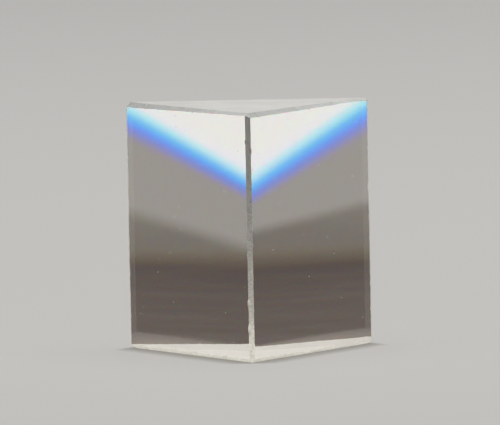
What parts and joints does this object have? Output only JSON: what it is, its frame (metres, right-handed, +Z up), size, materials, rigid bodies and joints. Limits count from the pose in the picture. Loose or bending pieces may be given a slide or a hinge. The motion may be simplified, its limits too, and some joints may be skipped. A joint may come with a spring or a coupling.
{
  "type": "glass prism",
  "caption": "Equilateral glass prism standing on its end: a solid block of clear optical glass with polished faces, ground ends and bevelled edges, for bending and splitting light",
  "frame": {"origin": "on the base, under the middle of the triangle, on the axis that the three long faces share", "axes": "+Z up along the long edges; -Y towards the front refracting edge; +Y out of the back polished face"},
  "size_m": [0.0294, 0.0255, 0.03],
  "materials": {
    "optical_glass": "polished on the three long faces, fine ground and frosted on both ends and on every bevel"
  },
  "bodies": {
    "root": {"prism_block": "optical_glass"}
  },
  "joints": []
}
